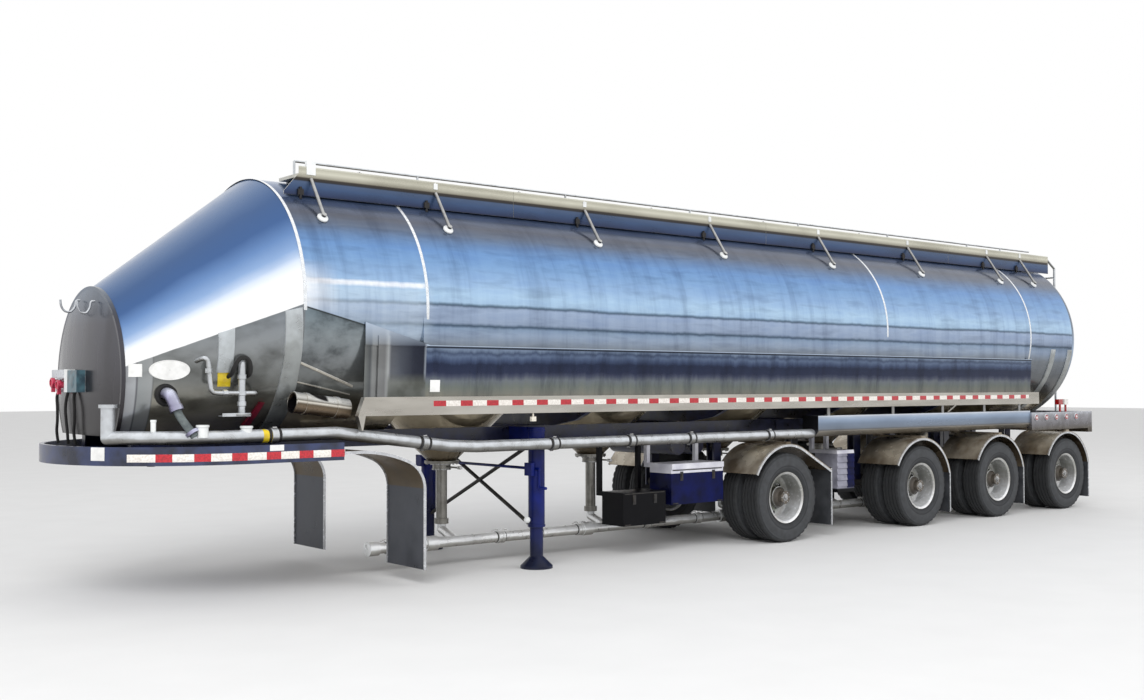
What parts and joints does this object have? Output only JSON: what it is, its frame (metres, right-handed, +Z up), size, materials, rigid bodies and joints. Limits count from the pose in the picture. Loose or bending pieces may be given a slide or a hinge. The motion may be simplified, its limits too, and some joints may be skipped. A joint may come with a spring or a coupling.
{
  "type": "dry bulk tank semi-trailer",
  "caption": "Four-axle tank semi-trailer with an oblique nose cone, hoppers under a polished barrel, dual wheels, roof walkway, hinged manhole lids and landing legs.",
  "frame": {"origin": "ground level, under the middle of the overall length and width", "axes": "+X forward to the nose, +Y left, +Z up"},
  "size_m": [15.17, 2.6, 3.9777],
  "materials": {
    "pipe_aluminium": "satin aluminium pipe",
    "black_rubber": "matte black rubber",
    "frame_blue": "dark blue chassis enamel",
    "dark_steel": "dark suspension steel",
    "sheet_aluminium": "mill finish aluminium sheet and extrusion",
    "polished_aluminium": "mirror polished barrel sheet",
    "bare_steel": "greased bare steel",
    "lamp_red": "red lamp lens",
    "grey_rubber": "grey rubber flap",
    "polished_rim": "polished forged wheel",
    "box_blue": "blue enamel",
    "tyre": "worn tyre rubber"
  },
  "bodies": {
    "trailer": {"air_pipe": "pipe_aluminium", "air_springs": "black_rubber", "air_tanks": "frame_blue", "axles": "dark_steel", "chassis_frame": "frame_blue", "crossmembers": "sheet_aluminium", "front_head": "polished_aluminium", "head_fittings": "pipe_aluminium", "hopper_outlets": "pipe_aluminium", "hose_trays": "polished_aluminium", "kingpin": "bare_steel", "lamps": "lamp_red", "landing_legs": "frame_blue", "leg_braces": "dark_steel", "manhole_collars": "sheet_aluminium", "mud_flaps": "black_rubber", "nose_piping": "pipe_aluminium", "product_pipe": "pipe_aluminium", "quarter_fenders": "grey_rubber", "rear_bumper": "polished_aluminium", "rear_head": "polished_aluminium", "rear_ladder": "pipe_aluminium", "roof_rail": "pipe_aluminium", "roof_vents": "sheet_aluminium", "side_boxes": "box_blue", "side_rails": "sheet_aluminium", "side_skirts": "polished_aluminium", "suspension": "dark_steel", "tank_bands": "sheet_aluminium", "tank_barrel": "polished_aluminium", "tank_nose": "polished_aluminium", "trailing_arms": "dark_steel", "tray_hangers": "sheet_aluminium", "upper_coupler": "frame_blue", "walkway": "sheet_aluminium", "walkway_brackets": "sheet_aluminium", "wheel_fenders": "polished_aluminium"},
    "wheel_lift_left": {"rims_lift_left": "polished_rim", "tyres_lift_left": "tyre"},
    "wheel_lift_right": {"rims_lift_right": "polished_rim", "tyres_lift_right": "tyre"},
    "wheel_front_left": {"rims_front_left": "polished_rim", "tyres_front_left": "tyre"},
    "wheel_front_right": {"rims_front_right": "polished_rim", "tyres_front_right": "tyre"},
    "wheel_middle_left": {"rims_middle_left": "polished_rim", "tyres_middle_left": "tyre"},
    "wheel_middle_right": {"rims_middle_right": "polished_rim", "tyres_middle_right": "tyre"},
    "wheel_rear_left": {"rims_rear_left": "polished_rim", "tyres_rear_left": "tyre"},
    "wheel_rear_right": {"rims_rear_right": "polished_rim", "tyres_rear_right": "tyre"},
    "lid_1": {"manhole_lid_1": "sheet_aluminium"},
    "lid_2": {"manhole_lid_2": "sheet_aluminium"},
    "lid_3": {"manhole_lid_3": "sheet_aluminium"},
    "lid_4": {"manhole_lid_4": "sheet_aluminium"},
    "lid_5": {"manhole_lid_5": "sheet_aluminium"}
  },
  "joints": [
    {"name": "wheel_lift_left_spin", "type": "hinge", "parent": "trailer", "child": "wheel_lift_left", "pos_m": [-0.485, 0, 0.527], "axis": [0, 1, 0], "continuous": true},
    {"name": "wheel_lift_right_spin", "type": "hinge", "parent": "trailer", "child": "wheel_lift_right", "pos_m": [-0.485, 0, 0.527], "axis": [0, 1, 0], "continuous": true},
    {"name": "wheel_front_left_spin", "type": "hinge", "parent": "trailer", "child": "wheel_front_left", "pos_m": [-3.168, 0, 0.527], "axis": [0, 1, 0], "continuous": true},
    {"name": "wheel_front_right_spin", "type": "hinge", "parent": "trailer", "child": "wheel_front_right", "pos_m": [-3.168, 0, 0.527], "axis": [0, 1, 0], "continuous": true},
    {"name": "wheel_middle_left_spin", "type": "hinge", "parent": "trailer", "child": "wheel_middle_left", "pos_m": [-4.997, 0, 0.527], "axis": [0, 1, 0], "continuous": true},
    {"name": "wheel_middle_right_spin", "type": "hinge", "parent": "trailer", "child": "wheel_middle_right", "pos_m": [-4.997, 0, 0.527], "axis": [0, 1, 0], "continuous": true},
    {"name": "wheel_rear_left_spin", "type": "hinge", "parent": "trailer", "child": "wheel_rear_left", "pos_m": [-6.826, 0, 0.527], "axis": [0, 1, 0], "continuous": true},
    {"name": "wheel_rear_right_spin", "type": "hinge", "parent": "trailer", "child": "wheel_rear_right", "pos_m": [-6.826, 0, 0.527], "axis": [0, 1, 0], "continuous": true},
    {"name": "lid_1_hinge", "type": "hinge", "parent": "trailer", "child": "lid_1", "pos_m": [4.7, -0.322, 3.914], "axis": [1, 0, 0], "range_deg": [0, 105]},
    {"name": "lid_2_hinge", "type": "hinge", "parent": "trailer", "child": "lid_2", "pos_m": [2.725, -0.322, 3.914], "axis": [1, 0, 0], "range_deg": [0, 105]},
    {"name": "lid_3_hinge", "type": "hinge", "parent": "trailer", "child": "lid_3", "pos_m": [0.75, -0.322, 3.914], "axis": [1, 0, 0], "range_deg": [0, 105]},
    {"name": "lid_4_hinge", "type": "hinge", "parent": "trailer", "child": "lid_4", "pos_m": [-1.225, -0.322, 3.914], "axis": [1, 0, 0], "range_deg": [0, 105]},
    {"name": "lid_5_hinge", "type": "hinge", "parent": "trailer", "child": "lid_5", "pos_m": [-3.2, -0.322, 3.914], "axis": [1, 0, 0], "range_deg": [0, 105]}
  ]
}
